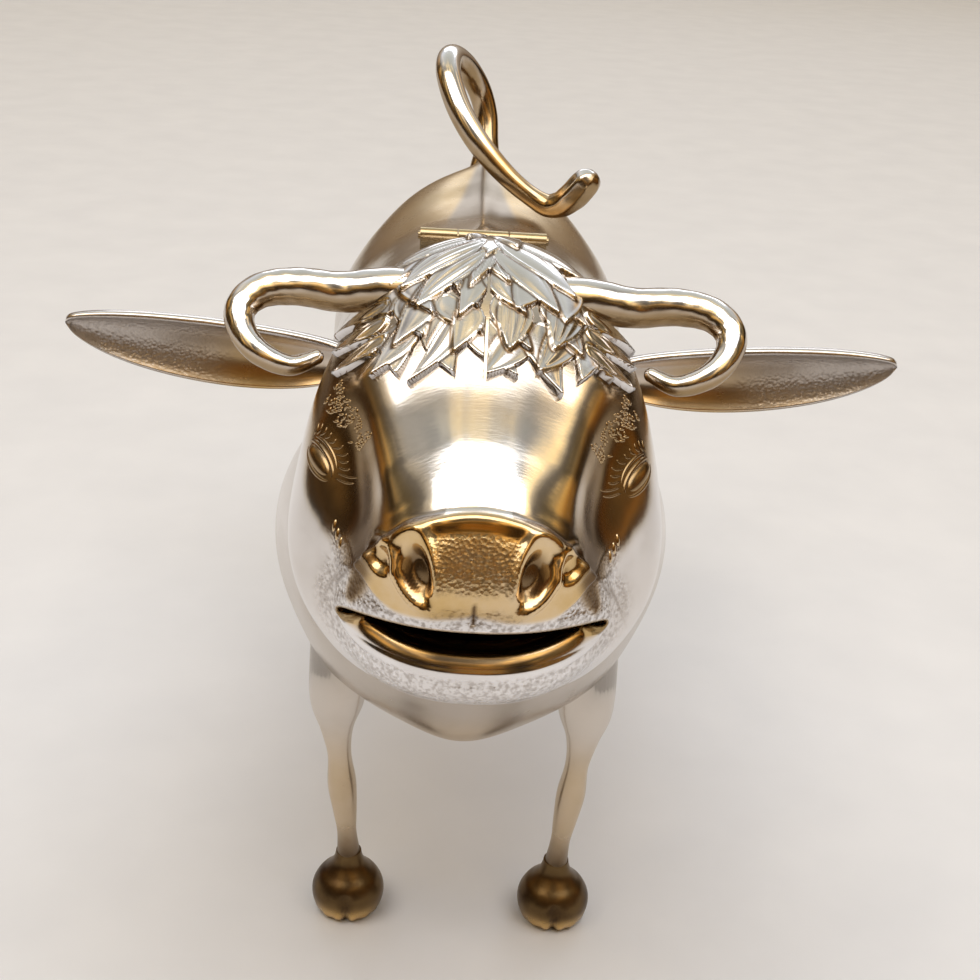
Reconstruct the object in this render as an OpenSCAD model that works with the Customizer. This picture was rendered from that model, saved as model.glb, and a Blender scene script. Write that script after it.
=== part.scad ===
// Cow creamer: a hollow standing cow of sheet silver. The lid on the back is the filling hole,
// the open mouth is the spout, and the looped tail is the handle.
// The cow looks along -Y, X is across it, Z is up, and the four soles stand on Z = 0.

/* [Shell] */
// Thickness of the sheet silver of the trunk and head
wall = 0.8; // [0.7:0.05:0.9]
// Radius of the round barrel of the trunk
barrel_r = 21; // [20.8:0.1:21.2]
// Height of the barrel's axis above the ground
barrel_z = 49.3; // [49.2:0.1:49.5]

/* [Filling hole and lid] */
// Place of the middle of the filling hole along the back
hole_y = 7.3; // [6.8:0.1:7.4]
// Half length of the filling hole
hole_a = 15.5; // [14.5:0.5:15.5]
// Half width of the filling hole
hole_b = 11.5; // [10.5:0.5:12]
// How far the lid plate reaches past the hole all round
lid_lap = 1.2; // [0.8:0.1:1.4]
// Thickness of the lid plate
lid_t = 0.8; // [0.6:0.1:1.0]
// Gap between the lid plate and the back
lid_gap = 0.15; // [0.12:0.01:0.2]
// Gap between the lid rim and the collar that it drops into
rim_gap = 0.35; // [0.3:0.05:0.5]
// Thickness of the collar and of the lid rim
ring_t = 0.6; // [0.5:0.1:0.7]

/* [Hinge] */
// Place of the hinge pin along the back
hinge_y = 26.5; // [26.5:0.1:27.5]
// Height of the hinge pin above the back
hinge_lift = 1.2; // [1.2:0.1:1.5]
// Outer radius of the knuckles
knuckle_r = 1.1; // [1:0.05:1.1]
// Radius of the hinge pin
pin_r = 0.55; // [0.45:0.05:0.6]
// Half length of the hinge
hinge_half = 8.4; // [8:0.1:9]
// Half length of the lid's own knuckle
lid_knuckle_half = 3.3; // [3:0.1:4]

/* [Legs] */
// Half of the distance between the two hooves of a pair
hoof_x = 12.6; // [12:0.1:13]
// Height at which the leg enters the hoof's socket
ankle_z = 8.2; // [7.8:0.1:8.8]
// Half width of a hoof
hoof_r = 4.3; // [4.1:0.1:4.5]
// Radius of the sheet of the sole that rests on the ground
sole_r = 3.1; // [2.8:0.1:3.2]

/* [Horns, ears and tail] */
// Radius of a horn where it leaves the head
horn_root_r = 2.0; // [1.8:0.1:2.1]
// Radius of a horn at its blunt tip
horn_tip_r = 0.65; // [0.6:0.05:0.8]
// Half width of an ear at its widest
ear_half = 3.7; // [3.4:0.1:4]
// Thickness of the sheet silver of an ear
ear_t = 0.7; // [0.6:0.1:0.8]
// Radius of the tail wire
tail_r = 1.55; // [1.5:0.05:1.6]

/* [Hidden] */

back_z = barrel_z + barrel_r;
belly_z = barrel_z - barrel_r;
barrel_back = 42;      // the barrel is exactly round from here...
barrel_front = -12;    // ...to here
barrel_inset = 6;      // spacing of the barrel's own sections from its two ends
side_steps = 16;       // facets from the top seam to the bottom seam
eps = 0.01;

// Cross-sections of the cow from rump to lips: the top point's y and z, the bottom point's y and z,
// the half width, how far the sides lie behind the middle, the squareness (1 is an ellipse), and
// how much narrower it is above than below.
rear_sections = [
    [66.3, 60.5, 66.3, 51.0, 4.2, 0, 1, 0],
    [65.1, 67.0, 65.1, 46.0, 9.8, 0, 1, 0],
    [62.6, 71.0, 62.6, 41.0, 14.0, 0, 1, 0],
    [59.0, 72.9, 59.0, 37.0, 17.0, 0, 1, 0],
    [54.0, 72.4, 54.0, 33.0, 19.2, 0, 1, 0],
    [48.5, 71.1, 48.5, 30.0, 20.6, 0, 1, 0]];
front_sections = [
    [-18.0, 70.9, -18.5, 29.2, 21.0, 0, 1, 0],
    [-23.5, 73.4, -26.0, 31.0, 20.5, 0, 1, 0],
    [-27.8, 77.0, -33.8, 33.8, 18.7, 0, 1, 0],
    [-31.3, 81.2, -39.6, 40.2, 16.4, 0, 1, 0],
    [-34.8, 85.6, -44.5, 48.0, 14.8, 0, 0.98, 0.05]];
head_sections = [
    [-38.6, 88.8, -50.2, 53.4, 14.8, 0, 0.95, 0.10],
    [-43.6, 90.0, -55.0, 55.0, 15.2, 0, 0.92, 0.15],
    [-50.4, 87.2, -58.4, 55.8, 14.8, 0.3, 0.90, 0.22],
    [-57.0, 82.6, -61.2, 56.2, 13.0, 1.2, 0.88, 0.24],
    [-62.6, 79.2, -63.8, 57.2, 11.4, 3.0, 0.88, 0.22],
    [-67.0, 76.0, -66.2, 58.8, 10.9, 5.0, 0.86, 0.14],
    [-69.5, 72.2, -67.5, 60.8, 11.0, 6.1, 0.86, 0.05],
    [-69.8, 67.6, -67.3, 62.7, 10.9, 5.4, 0.86, 0]];

function barrel_section(y) = [y, back_z, y, belly_z, barrel_r, 0, 1, 0];
barrel_sections = [for (y = [barrel_back, barrel_back - barrel_inset,
    barrel_front + barrel_inset, barrel_front]) barrel_section(y)];
sections = concat(rear_sections, barrel_sections, front_sections, head_sections);
first_round = len(rear_sections);
last_round = first_round + len(barrel_sections) - 1;
joint_at = last_round + len(front_sections);

// A smooth curve through a list of points or of sections, at position t
function smooth(list, t) = let(
    n = len(list) - 1, i = max(0, min(floor(t), n - 1)), f = t - i,
    a = list[max(i - 1, 0)], b = list[i], c = list[i + 1], d = list[min(i + 2, n)])
    0.5 * (2 * b + (c - a) * f + (2 * a - 5 * b + 4 * c - d) * f * f
        + (3 * b - a - 3 * c + d) * f * f * f);

// The rows of the shell, from rump to lips. Across the filling hole they follow its outline.
hole_rows = concat([(barrel_back + hole_y + hole_a) / 2],
    [for (t = [0 : 15 : 180]) hole_y + hole_a * cos(t)]);
rows = concat(
    [for (t = [0 : 0.5 : first_round]) smooth(sections, t)],
    [for (y = hole_rows) barrel_section(y)],
    [for (t = [last_round : 0.5 : len(sections) - 1]) smooth(sections, t)]);
rear_rows = 2 * first_round;
front_row = rear_rows + len(hole_rows) + 1;
joint_row = front_row + 2 * len(front_sections);
lip_row = len(rows) - 1;

function power(a, e) = sign(a) * pow(abs(a), e);
function skin(i, u) = let(s = rows[i], c = power(cos(u), s[6]))
    [s[4] * power(sin(u), s[6]) * (1 - s[7] * cos(u)),
     (s[0] + s[2]) / 2 + (s[0] - s[2]) / 2 * c + s[5] * pow(sin(u), 2),
     (s[1] + s[3]) / 2 + (s[1] - s[3]) / 2 * c];
function unit(a) = a / norm(a);
function outward(i, u) = unit(cross(
    skin(min(i + 1, lip_row), u) - skin(max(i - 1, 0), u), skin(i, u + 1) - skin(i, u - 1)));
function lining(i, u) = skin(i, u) - wall * outward(i, u);

// The angle from the top at which a row starts: past the edge of the filling hole
function hole_half(y) = let(k = (y - hole_y) / hole_a)
    abs(k) > 1 - eps * eps ? 0 : hole_b * sqrt(1 - k * k);
function start_angle(i) = i > rear_rows && i < front_row ? asin(hole_half(rows[i][0]) / barrel_r) : 0;
function row_angle(i, k) = let(a = start_angle(i)) a + (180 - a) * k / side_steps;

// Two triangles for each cell of a grid of n columns, rows r0 to r1 of points numbered from base
function cell(a, b, c, d, flip) = flip ? [[a, c, b], [a, d, c]] : [[a, b, c], [a, c, d]];
function grid_faces(base, n, count, flip) = [for (i = [0 : count - 2]) for (k = [0 : n - 2])
    each cell(base + i * n + k, base + i * n + k + 1, base + (i + 1) * n + k + 1,
        base + (i + 1) * n + k, flip)];
function fan(first, n, flip) = [for (k = [1 : n - 2])
    flip ? [first, first + k, first + k + 1] : [first, first + k + 1, first + k]];

// The half of the shell on the cow's left, from row r0 to row r1, closed at the rump if r0 is 0
module half_shell(r0, r1) {
    n = side_steps + 1;
    count = r1 - r0 + 1;
    inner = n * count;
    last = n * (count - 1);
    points = concat(
        [for (i = [r0 : r1]) for (k = [0 : side_steps]) skin(i, row_angle(i, k))],
        [for (i = [r0 : r1]) for (k = [0 : side_steps]) lining(i, row_angle(i, k))]);
    top_seam = [for (i = [0 : count - 2])
        each cell(i * n, (i + 1) * n, inner + (i + 1) * n, inner + i * n, false)];
    low_seam = [for (i = [0 : count - 2])
        each cell(i * n + n - 1, (i + 1) * n + n - 1, inner + (i + 1) * n + n - 1,
            inner + i * n + n - 1, true)];
    front_rim = [for (k = [0 : n - 2])
        each cell(last + k, last + k + 1, inner + last + k + 1, inner + last + k, false)];
    rear_rim = [for (k = [0 : n - 2]) each cell(k, k + 1, inner + k + 1, inner + k, true)];
    rear_cap = concat(fan(0, n, false), fan(inner, n, true), cell(0, n - 1, inner + n - 1, inner, true));
    polyhedron(points, concat(grid_faces(0, n, count, false), grid_faces(inner, n, count, true),
        top_seam, low_seam, front_rim, r0 == 0 ? rear_cap : rear_rim), convexity = 6);
}

// The solid cow between two rows, which trims what is soldered to the shell
module solid_cow(r0, r1) {
    n = 2 * side_steps;
    count = r1 - r0 + 1;
    points = [for (i = [r0 : r1]) for (k = [0 : n - 1]) skin(i, 180 * k / side_steps)];
    sides = [for (i = [0 : count - 2]) for (k = [0 : n - 1]) let(m = (k + 1) % n)
        each cell(i * n + k, i * n + m, (i + 1) * n + m, (i + 1) * n + k, false)];
    polyhedron(points, concat(sides, fan(0, n, false), fan((count - 1) * n, n, true)), convexity = 4);
}

// A round tapering tube through a route of [x, y, z, radius], with flat ends
module tube(route, sides = 12, per_step = 3) {
    count = (len(route) - 1) * per_step + 1;
    along = [for (i = [0 : count - 1]) smooth(route, i / per_step)];
    middle = [for (p = along) [p[0], p[1], p[2]]];
    heading = [for (i = [0 : count - 1])
        unit(middle[min(i + 1, count - 1)] - middle[max(i - 1, 0)])];
    start = unit(cross(heading[0], [0, 1, 0.3]));
    across = [for (i = 0, e = start; i < count; i = i + 1,
        e = i < count ? unit(e - (e * heading[i]) * heading[i]) : e) e];
    points = [for (i = [0 : count - 1]) for (k = [0 : sides - 1])
        let(a = 360 * k / sides, r = along[i][3], e = across[i], f = cross(heading[i], e))
        middle[i] + r * cos(a) * e + r * sin(a) * f];
    sides_faces = [for (i = [0 : count - 2]) for (k = [0 : sides - 1]) let(m = (k + 1) % sides)
        each cell(i * sides + k, (i + 1) * sides + k, (i + 1) * sides + m, i * sides + m, false)];
    polyhedron(points, concat(sides_faces, fan(0, sides, true),
        fan((count - 1) * sides, sides, false)), convexity = 6);
}

module silver() { color([0.80, 0.78, 0.76]) children(); }
module dark_silver() { color([0.42, 0.34, 0.26]) children(); }
module for_right() { mirror([1, 0, 0]) children(); }
module barrel(extra = 0) {
    translate([0, barrel_back + 20, barrel_z]) rotate([90, 0, 0])
        cylinder(r = barrel_r + extra, h = barrel_back - barrel_front + 40, $fn = 96);
}

// --- Trunk and head ---
module body_left() { silver() half_shell(0, joint_row); }
module body_right() { silver() for_right() half_shell(0, joint_row); }
module head_left() { silver() half_shell(joint_row, lip_row); }
module head_right() { silver() for_right() half_shell(joint_row, lip_row); }

// --- Horns and ears ---
horn_route = [[5.5, -42.6, 82.6], [8.4, -43.0, 84.1], [12.5, -44.0, 85.3], [16.1, -45.0, 85.9],
    [18.9, -46.0, 85.8], [20.5, -47.5, 84.8], [20.4, -49.0, 83.4], [18.8, -50.5, 81.9],
    [16.2, -50.5, 80.8], [14.1, -49.2, 81.2]];
function horn_r(k) = horn_tip_r + (horn_root_r - horn_tip_r) * pow(1 - k / (len(horn_route) - 1), 0.8);
module horn() {
    difference() {
        tube([for (k = [0 : len(horn_route) - 1]) concat(horn_route[k], [horn_r(k)])], per_step = 2);
        solid_cow(joint_row, lip_row);
    }
}
module horn_left() { silver() horn(); }
module horn_right() { silver() for_right() horn(); }

ear_root = [12.4, -35.4, 76.2];
ear_tip = [38.0, -38.4, 79.3];
ear_up = unit([0.05, -0.38, 0.92]);   // from the lower to the upper edge
ear_back = unit([0.05, 0.92, 0.38]);  // from the open side to the hollow side
ear_scoop = 2.2;                      // depth of the hollow
ear_steps = 14;
ear_across = 8;
function ear_half_at(s) = ear_half * (0.16 + 0.84 * pow(sin(180 * pow(s, 0.8)), 0.75)) * (s > 0.99 ? 0.5 : 1);
function ear_point(s, t, back) = let(w = ear_half_at(s))
    ear_root + (ear_tip - ear_root) * s + ear_up * (w * t - 0.45 * w)
    + ear_back * (ear_scoop * (w / ear_half) * (1 - t * t) + back);
module ear() {
    n = ear_across + 1;
    front = [for (i = [0 : ear_steps]) for (k = [0 : ear_across])
        ear_point(i / ear_steps, 2 * k / ear_across - 1, 0)];
    back = [for (i = [0 : ear_steps]) for (k = [0 : ear_across])
        ear_point(i / ear_steps, 2 * k / ear_across - 1, ear_t)];
    b = len(front);
    edges = [for (i = [0 : ear_steps - 1]) each concat(
        cell(i * n, (i + 1) * n, b + (i + 1) * n, b + i * n, false),
        cell(i * n + n - 1, (i + 1) * n + n - 1, b + (i + 1) * n + n - 1, b + i * n + n - 1, true))];
    ends = [for (k = [0 : n - 2]) each concat(cell(k, k + 1, b + k + 1, b + k, true),
        cell(ear_steps * n + k, ear_steps * n + k + 1, b + ear_steps * n + k + 1,
            b + ear_steps * n + k, false))];
    difference() {
        polyhedron(concat(front, back), concat(grid_faces(0, n, ear_steps + 1, false),
            grid_faces(b, n, ear_steps + 1, true), edges, ends), convexity = 4);
        solid_cow(joint_row - 4, lip_row);
    }
}
module ear_left() { silver() ear(); }
module ear_right() { silver() for_right() ear(); }

// --- Legs and hooves ---
foreleg_route = [[13.4, -26.0, 40.0, 4.4], [13.9, -26.6, 33.0, 3.0], [13.9, -26.6, 29.0, 1.75],
    [13.6, -26.2, 25.0, 1.3], [13.3, -25.6, 20.5, 1.65], [13.0, -24.6, 16.0, 1.4],
    [12.8, -23.5, 12.0, 1.15], [12.6, -22.5, ankle_z, 1.3]];
hindleg_route = [[12.6, 49.0, 44.0, 5.6], [14.0, 50.0, 36.0, 4.4], [14.3, 51.0, 29.5, 2.6],
    [14.0, 52.8, 24.0, 1.7], [13.6, 53.6, 20.0, 1.8], [13.2, 52.6, 15.5, 1.4],
    [12.9, 51.4, 11.5, 1.2], [12.6, 50.8, ankle_z, 1.3]];
module leg(route, r0, r1) {
    difference() {
        tube(route, sides = 14, per_step = 2);
        solid_cow(r0, r1);
        translate([0, route[7][1] - 5, ankle_z - 2]) cube([20, 10, 2]);
    }
}
module foreleg() { leg(foreleg_route, front_row, joint_row); }
module hindleg() { leg(hindleg_route, 0, rear_rows); }
module foreleg_left() { silver() foreleg(); }
module foreleg_right() { silver() for_right() foreleg(); }
module hindleg_left() { silver() hindleg(); }
module hindleg_right() { silver() for_right() hindleg(); }

toe_x = 1.3;           // how far the middle of a toe is from the middle of the hoof
cleft_w = 0.7;         // width of the cleft between the two toes
socket_r = 1.7;        // radius of the hoof's socket at the ankle
module hoof(y) {
    translate([hoof_x, y, 0]) difference() {
        union() {
            hull() {
                translate([0, -0.5, 0]) cylinder(r = sole_r, h = 0.4, $fn = 28);
                for (side = [-1, 1])
                    translate([side * toe_x, -1.0, 3.05]) sphere(r = hoof_r - toe_x, $fn = 22);
                translate([0, 1.2, 3.05]) sphere(r = 2.8, $fn = 20);
            }
            translate([0, 0.4, 4.8]) cylinder(r1 = 2.9, r2 = socket_r, h = ankle_z - 4.8, $fn = 40);
        }
        translate([-cleft_w / 2, -8, -1]) cube([cleft_w, 4.6, 5.4]);
    }
}
module forehoof() { hoof(foreleg_route[7][1]); }
module hindhoof() { hoof(hindleg_route[7][1]); }
module forehoof_left() { dark_silver() forehoof(); }
module forehoof_right() { dark_silver() for_right() forehoof(); }
module hindhoof_left() { dark_silver() hindhoof(); }
module hindhoof_right() { dark_silver() for_right() hindhoof(); }

// --- Tail, which is the handle ---
tail_route = [[0, 61.5, 67.0, 1.5], [0, 63.4, 72.0, 1.35], [0.5, 66.2, 76.0, 1], [0.4, 68.1, 80.0, 1],
    [-0.8, 68.4, 84.2, 1], [-3.2, 66.0, 88.2, 1], [-5.9, 61.2, 90.5, 1], [-6.3, 56.2, 88.4, 1],
    [-4.6, 52.4, 84.2, 1], [-1.8, 49.8, 80.2, 1], [1.0, 48.4, 76.9, 1], [4.2, 47.2, 73.8, 0.95],
    [7.6, 46.2, 71.1, 0.9], [10.6, 45.2, 69.4, 0.95], [13.2, 44.0, 70.4, 1.2],
    [14.9, 42.9, 73.3, 1.35], [15.6, 42.2, 76.2, 0.9]];
module tail_handle() {
    silver() difference() {
        tube([for (p = tail_route) [p[0], p[1], p[2], p[3] * tail_r]], sides = 12, per_step = 2);
        solid_cow(0, rear_rows);
    }
}

// --- Udder ---
udder_y = 31;
udder_z = 29;
udder_r = 8;
teat_r = 1.0;
teat_drop = 3.2;
module udder() {
    silver() difference() {
        translate([0, udder_y, udder_z]) sphere(r = udder_r, $fn = 64);
        barrel();
    }
}
module teats() {
    silver() for (x = [-3, 3], y = [-3, 3]) difference() {
        translate([x, udder_y + y, udder_z - udder_r - teat_drop + 1.5]) union() {
            cylinder(r1 = teat_r * 0.8, r2 = teat_r, h = teat_drop + 1.0, $fn = 32);
            sphere(r = teat_r * 0.8, $fn = 32);
        }
        translate([0, udder_y, udder_z]) sphere(r = udder_r, $fn = 64);
    }
}

// --- Filling hole: collar in the back, lid and its rim ---
// A ring that follows the hole, square to the barrel, from radius r0 to r1, "inset" in from the hole
module hole_ring(inset, r0, r1, thick) {
    n = 48;
    function at(k, r, extra) = let(
        q = 360 * k / n,
        b = asin((hole_b - inset - extra) * sin(q) / barrel_r))
        [r * sin(b), hole_y + (hole_a - inset - extra) * cos(q), barrel_z + r * cos(b)];
    points = [for (k = [0 : n - 1]) each [at(k, r1, 0), at(k, r1, thick), at(k, r0, thick), at(k, r0, 0)]];
    faces = [for (k = [0 : n - 1]) for (c = [0 : 3]) let(m = (k + 1) % n, d = (c + 1) % 4)
        each cell(4 * k + c, 4 * m + c, 4 * m + d, 4 * k + d, false)];
    polyhedron(points, faces, convexity = 6);
}
collar_gap = 0.1;      // solder line between the collar and the edge of the hole
collar_depth = 2.6;
rim_depth = 2.0;
module filler_collar() {
    silver() hole_ring(collar_gap, barrel_r - collar_depth, barrel_r - 0.05, ring_t);
}
module lid_rim() {
    silver() hole_ring(collar_gap + ring_t + rim_gap, barrel_r - rim_depth, barrel_r + lid_gap, ring_t);
}
lid_top = lid_gap + lid_t;
module lid() {
    silver() intersection() {
        difference() {
            barrel(lid_top);
            barrel(lid_gap);
        }
        translate([0, hole_y, barrel_z]) linear_extrude(height = 30)
            scale([(hole_b + lid_lap) / (hole_a + lid_lap), 1]) circle(r = hole_a + lid_lap, $fn = 96);
    }
}

// --- Hinge ---
hinge_z = back_z + hinge_lift;
leaf_t = 0.7;
knuckle_gap = 0.2;
pin_fit = 0.02;        // the pin is held by the outer knuckles
pin_play = 0.06;       // and turns freely in the lid's knuckle
outer_from = lid_knuckle_half + knuckle_gap;
module along_x(r, x0, x1) {
    translate([x0, hinge_y, hinge_z]) rotate([0, 90, 0]) cylinder(r = r, h = x1 - x0, $fn = 48);
}
module hinge_body_leaf() {
    silver() difference() {
        union() {
            intersection() {
                barrel(leaf_t);
                translate([-hinge_half, hinge_y - knuckle_r, barrel_z]) cube([2 * hinge_half, 4.6, 30]);
            }
            for (x = [-hinge_half, outer_from]) {
                along_x(knuckle_r, x, x + hinge_half - outer_from);
                translate([x, hinge_y - knuckle_r, barrel_z + 17])
                    cube([hinge_half - outer_from, 2 * knuckle_r, hinge_z - barrel_z - 17]);
            }
        }
        barrel(0.02);
        along_x(pin_r + pin_fit, -hinge_half - 1, hinge_half + 1);
        translate([-outer_from, hinge_y - 3, barrel_z]) cube([2 * outer_from, 3 + knuckle_r + 0.35, 30]);
    }
}
module hinge_pin() {
    silver() along_x(pin_r, -hinge_half - 0.3, hinge_half + 0.3);
}
module hinge_lid_leaf() {
    silver() difference() {
        union() {
            along_x(knuckle_r, -lid_knuckle_half, lid_knuckle_half);
            intersection() {
                barrel(lid_top + leaf_t);
                translate([-lid_knuckle_half, hinge_y - 8, barrel_z + 10])
                    cube([2 * lid_knuckle_half, 8, 30]);
            }
        }
        barrel(lid_top);
        along_x(pin_r + pin_play, -lid_knuckle_half - 1, lid_knuckle_half + 1);
    }
}

// --- Fly on the lid, which the thumb lifts ---
fly_y = -1;
fly_z = back_z + lid_top;
fly_pad_r = 1.5;
fly_rise = 2.2;        // height of the middle of the fly above the lid
wing_t = 0.35;
wing_l = 5.4;
module fly_body() {
    silver() union() {
        difference() {
            translate([0, fly_y, fly_z - 0.5]) cylinder(r = fly_pad_r, h = fly_rise - 0.2, $fn = 40);
            barrel(lid_top);
        }
        hull() {
            translate([0, fly_y - 2.6, fly_z + fly_rise - 0.2]) sphere(r = 1.25, $fn = 20);
            translate([0, fly_y + 0.3, fly_z + fly_rise]) sphere(r = 1.6, $fn = 20);
            translate([0, fly_y + 4.6, fly_z + fly_rise - 0.5]) sphere(r = 0.7, $fn = 20);
        }
    }
}
module fly_wings() {
    silver() for (side = [-1, 1]) translate([side * 1.0, fly_y + 0.2, fly_z + fly_rise + 1.65])
        rotate([-8, side * 12, side * 24]) hull() {
            cylinder(r = 0.6, h = wing_t, $fn = 24);
            translate([0, wing_l, 0]) cylinder(r = 1.6, h = wing_t, $fn = 24);
        }
}

body_left();
body_right();
head_left();
head_right();
horn_left();
horn_right();
ear_left();
ear_right();
foreleg_left();
foreleg_right();
hindleg_left();
hindleg_right();
forehoof_left();
forehoof_right();
hindhoof_left();
hindhoof_right();
tail_handle();
udder();
teats();
filler_collar();
hinge_body_leaf();
hinge_pin();
lid();
lid_rim();
hinge_lid_leaf();
fly_body();
fly_wings();
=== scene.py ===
"""Looks of the silver cow creamer, built round its CAD frame. Lengths are in millimetres until mesh()."""
import math

import bpy
import numpy as np
from mathutils import Matrix, Vector
from mathutils.bvhtree import BVHTree


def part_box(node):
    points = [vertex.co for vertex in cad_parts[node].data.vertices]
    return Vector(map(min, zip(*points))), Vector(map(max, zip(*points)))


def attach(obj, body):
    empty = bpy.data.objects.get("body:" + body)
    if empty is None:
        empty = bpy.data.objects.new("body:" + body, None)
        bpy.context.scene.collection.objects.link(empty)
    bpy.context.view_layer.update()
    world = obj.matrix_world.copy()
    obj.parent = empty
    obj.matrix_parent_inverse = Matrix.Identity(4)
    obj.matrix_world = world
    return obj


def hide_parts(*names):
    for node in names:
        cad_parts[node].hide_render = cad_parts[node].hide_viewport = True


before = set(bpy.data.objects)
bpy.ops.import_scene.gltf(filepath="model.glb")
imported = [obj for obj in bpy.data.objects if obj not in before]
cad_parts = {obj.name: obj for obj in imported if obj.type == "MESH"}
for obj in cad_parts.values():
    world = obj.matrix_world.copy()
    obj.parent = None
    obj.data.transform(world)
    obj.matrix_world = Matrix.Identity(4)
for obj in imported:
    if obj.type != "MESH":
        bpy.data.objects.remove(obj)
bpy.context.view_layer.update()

MM = 0.001
scene = bpy.context.scene


def unit(v):
    return v / np.maximum(np.linalg.norm(v, axis=-1, keepdims=True), 1e-12)


# --- Camera, in front of the nose and above it ---
head_low, head_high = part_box("head_left")
LIP_Y, CROWN_Z = head_low[1] / MM, head_high[2] / MM
CAMERA_TURN, CAMERA_DOWN, CAMERA_TILT = 1.4, 24.96, 3.58
CAMERA_X, CAMERA_AHEAD, CAMERA_ABOVE = -1.7, 95.25, 33.7
CAMERA_LENS = 53.8


def make_camera():
    turn, down, tilt = (math.radians(a) for a in (CAMERA_TURN, CAMERA_DOWN, CAMERA_TILT))
    forward = Vector((math.sin(turn) * math.cos(down), math.cos(turn) * math.cos(down), -math.sin(down)))
    right = forward.cross(Vector((0, 0, 1))).normalized()
    up = right.cross(forward)
    across = right * math.cos(tilt) + up * math.sin(tilt)
    top = up * math.cos(tilt) - right * math.sin(tilt)
    data = bpy.data.cameras.new("camera")
    data.sensor_width = 36
    data.lens = CAMERA_LENS
    data.clip_start, data.clip_end = 0.005, 20
    camera = bpy.data.objects.new("camera", data)
    scene.collection.objects.link(camera)
    place = Vector((CAMERA_X, LIP_Y - CAMERA_AHEAD, CROWN_Z + CAMERA_ABOVE)) * MM
    camera.matrix_world = Matrix.Translation(place) @ Matrix((across, top, -forward)).transposed().to_4x4()
    scene.camera = camera


make_camera()


# --- Materials ---
MARKS = ("dark", "matte", "warm", "satin_and_shade")


def node_tools(owner):
    """Short calls for adding nodes to a material or a world and joining them."""
    owner.use_nodes = True
    tree = owner.node_tree

    def add(kind, *inputs, **settings):
        node = tree.nodes.new(kind)
        for key, value in settings.items():
            setattr(node, key, value)
        for socket, value in inputs:
            if isinstance(value, bpy.types.NodeSocket):
                tree.links.new(value, node.inputs[socket])
            else:
                node.inputs[socket].default_value = value
        return node

    def ramp(value, *stops):
        node = add("ShaderNodeValToRGB", (0, value))
        marks = node.color_ramp.elements
        while len(marks) < len(stops):
            marks.new(0.5)
        for mark, (place, colour) in zip(marks, stops):
            mark.position = place
            mark.color = (*colour, 1)
        return node.outputs[0]

    def maths(operation, a, b=0.0, clamp=False):
        return add("ShaderNodeMath", (0, a), (1, b), operation=operation, use_clamp=clamp).outputs[0]

    def blend(share, a, b, way="MIX"):
        return add("ShaderNodeMix", (0, share), (6, a), (7, b), data_type="RGBA", blend_type=way).outputs[2]

    def noise(place, scale, detail, rough=0.5):
        return add("ShaderNodeTexNoise", ("Vector", place), ("Scale", scale), ("Detail", detail),
                   ("Roughness", rough)).outputs["Fac"]

    return tree, add, ramp, maths, blend, noise


def grey(v):
    return (v, v, v)


PATCHES, GRAIN, DENTS = 0.5, 0.06, 0.25
CLOUD_SCALE, SPECK_SCALE, PIT_SCALE, DENT_SCALE = 140.0, 2600.0, 3200.0, 190.0
SCRATCH_SCALE = (900.0, 5200.0, 2600.0)
DENT_DEPTH, SCRATCH_DEPTH, PIT_DEPTH = 0.0004, 0.00001, 0.00012
SATIN_SHADE_TINT, WARM_TINT = (0.72, 0.67, 0.60), (0.84, 0.60, 0.27)


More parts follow.
